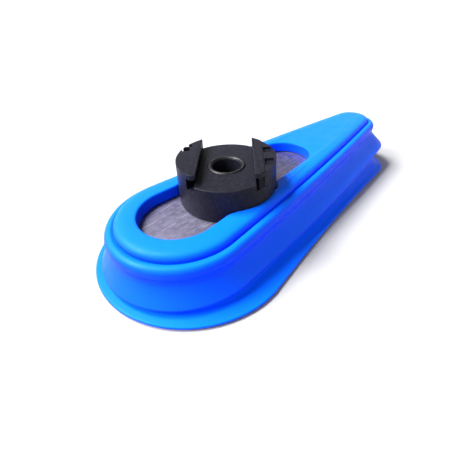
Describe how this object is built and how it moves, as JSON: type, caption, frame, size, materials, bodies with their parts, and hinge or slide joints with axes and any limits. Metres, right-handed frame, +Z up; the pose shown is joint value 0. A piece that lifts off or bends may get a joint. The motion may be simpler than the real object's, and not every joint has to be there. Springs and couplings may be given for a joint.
{
  "type": "bellows suction cup",
  "caption": "Teardrop silicone bellows suction cup with a metal support plate and a hooked quick-change vacuum coupling with a central port.",
  "frame": {"origin": "middle of the cup's footprint, on the plane of its sealing lip", "axes": "+Z up from the sealing plane to the coupling, +X along the cup to its narrow tip"},
  "size_m": [0.1797, 0.0774, 0.0376],
  "materials": {
    "silicone": "bright blue moulded silicone rubber, satin",
    "plate": "rolled aluminium sheet, dull and slightly mottled",
    "coupling": "black moulded engineering plastic, satin",
    "seal": "black moulded seal rubber",
    "screw": "stainless steel screw",
    "insert": "turned brass"
  },
  "bodies": {
    "cup": {"bellows": "silicone"},
    "carrier": {"support_plate": "plate", "coupling_body": "coupling", "port_seal": "seal", "foot_seal": "seal", "plate_screw_1": "screw", "plate_screw_2": "screw", "plate_screw_3": "screw", "plate_screw_4": "screw", "threaded_insert_1": "insert", "threaded_insert_2": "insert", "threaded_insert_3": "insert", "threaded_insert_4": "insert"}
  },
  "joints": [
    {"name": "bellows_close", "type": "hinge", "parent": "cup", "child": "carrier", "pos_m": [-0.1107, 0, 0.0144], "axis": [0, 1, 0], "range_deg": [0, 3], "stiffness_Nm_per_rad": 30, "springref_deg": -0.17, "deforming": ["bellows"]}
  ]
}
